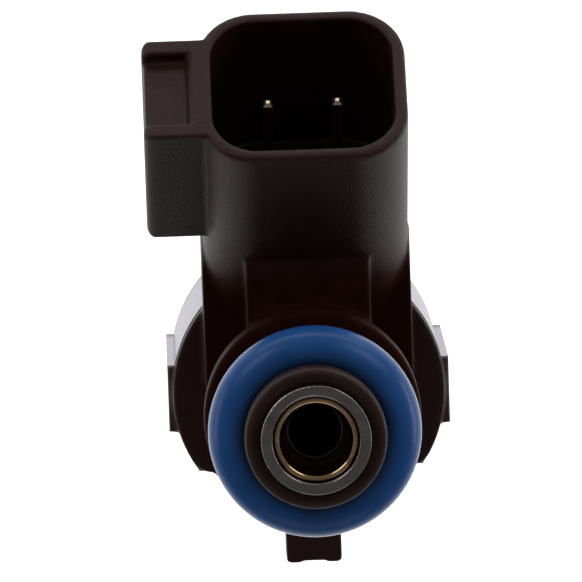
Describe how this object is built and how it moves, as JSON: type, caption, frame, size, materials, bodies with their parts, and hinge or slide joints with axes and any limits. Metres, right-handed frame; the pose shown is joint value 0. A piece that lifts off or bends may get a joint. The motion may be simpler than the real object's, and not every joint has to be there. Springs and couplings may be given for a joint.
{
  "type": "fuel injector",
  "caption": "Top-feed port fuel injector with blue O-ring seals, a steel can, and an oval electrical connector leaning from its neck, with a side latch block.",
  "frame": {"origin": "centre of the lower (manifold) O-ring on the injector axis", "axes": "+Z along the injector axis towards the fuel inlet, -Y towards the electrical connector, +X towards the connector's latch block"},
  "size_m": [0.0209, 0.0398, 0.0577],
  "materials": {
    "black_moulding": "fine-grained glass-filled moulding",
    "drawn_steel": "drawn stainless steel",
    "blue_rubber": "smooth elastomer",
    "ring_plastic": "dark brown-black moulding",
    "brass_collar": "drawn brass",
    "cage_plastic": "dark brown moulding",
    "mesh_steel": "woven wire",
    "magnet_iron": "turned magnetic steel",
    "spring_steel": "drawn wire",
    "bearing_steel": "ground and lapped",
    "can_steel": "bright plated",
    "bobbin_plastic": "natural moulding",
    "copper_wire": "enamelled copper wire",
    "terminal_bronze": "tin and gold toned bronze strip"
  },
  "bodies": {
    "injector_body": {"moulding": "black_moulding", "valve_sleeve": "drawn_steel", "rail_o_ring": "blue_rubber", "manifold_o_ring": "blue_rubber", "rail_support_ring": "ring_plastic", "tip_cap": "ring_plastic", "filter_collar": "brass_collar", "filter_cage": "cage_plastic", "filter_mesh": "mesh_steel", "inner_pole": "magnet_iron", "adjusting_sleeve": "drawn_steel", "return_spring": "spring_steel", "valve_seat": "bearing_steel", "spray_plate": "drawn_steel", "steel_housing": "can_steel", "flux_washer": "magnet_iron", "coil_bobbin": "bobbin_plastic", "coil_winding": "copper_wire", "coil_lead_left": "copper_wire", "coil_lead_right": "copper_wire", "terminal_left": "terminal_bronze", "terminal_right": "terminal_bronze"},
    "needle": {"armature": "magnet_iron", "valve_stem": "drawn_steel", "valve_ball": "bearing_steel"}
  },
  "joints": [
    {"name": "needle_lift", "type": "slide", "parent": "injector_body", "child": "needle", "axis": [0, 0, 1], "range_m": [0, 0.00008], "stiffness_N_per_m": 4000, "springref_m": -0.00088, "deforming": ["return_spring"]}
  ]
}
